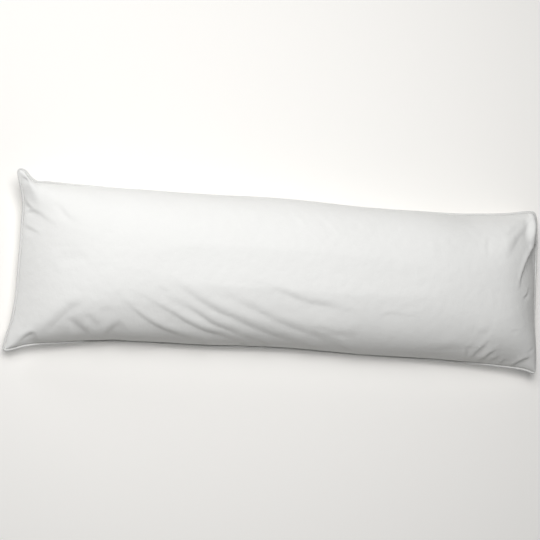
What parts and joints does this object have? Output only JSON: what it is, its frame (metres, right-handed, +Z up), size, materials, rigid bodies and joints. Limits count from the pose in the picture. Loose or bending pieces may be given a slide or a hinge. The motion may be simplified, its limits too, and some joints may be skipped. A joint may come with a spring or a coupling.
{
  "type": "body pillow",
  "caption": "Long white filled body pillow with a crowned body, drawn-in sides, corner ears, soft diagonal folds and a piped edge, lying on its back.",
  "frame": {"origin": "bottom centre of the box around the pillow, on the surface it lies on", "axes": "+X along the pillow, +Y across it, +Z up"},
  "size_m": [1.4811, 0.4885, 0.1961],
  "materials": {
    "cover_cloth": "smooth white woven cotton, filled",
    "piping_cloth": "white cotton bias strip over a cord"
  },
  "bodies": {
    "root": {"pillow": "cover_cloth", "piping": "piping_cloth"}
  },
  "joints": []
}
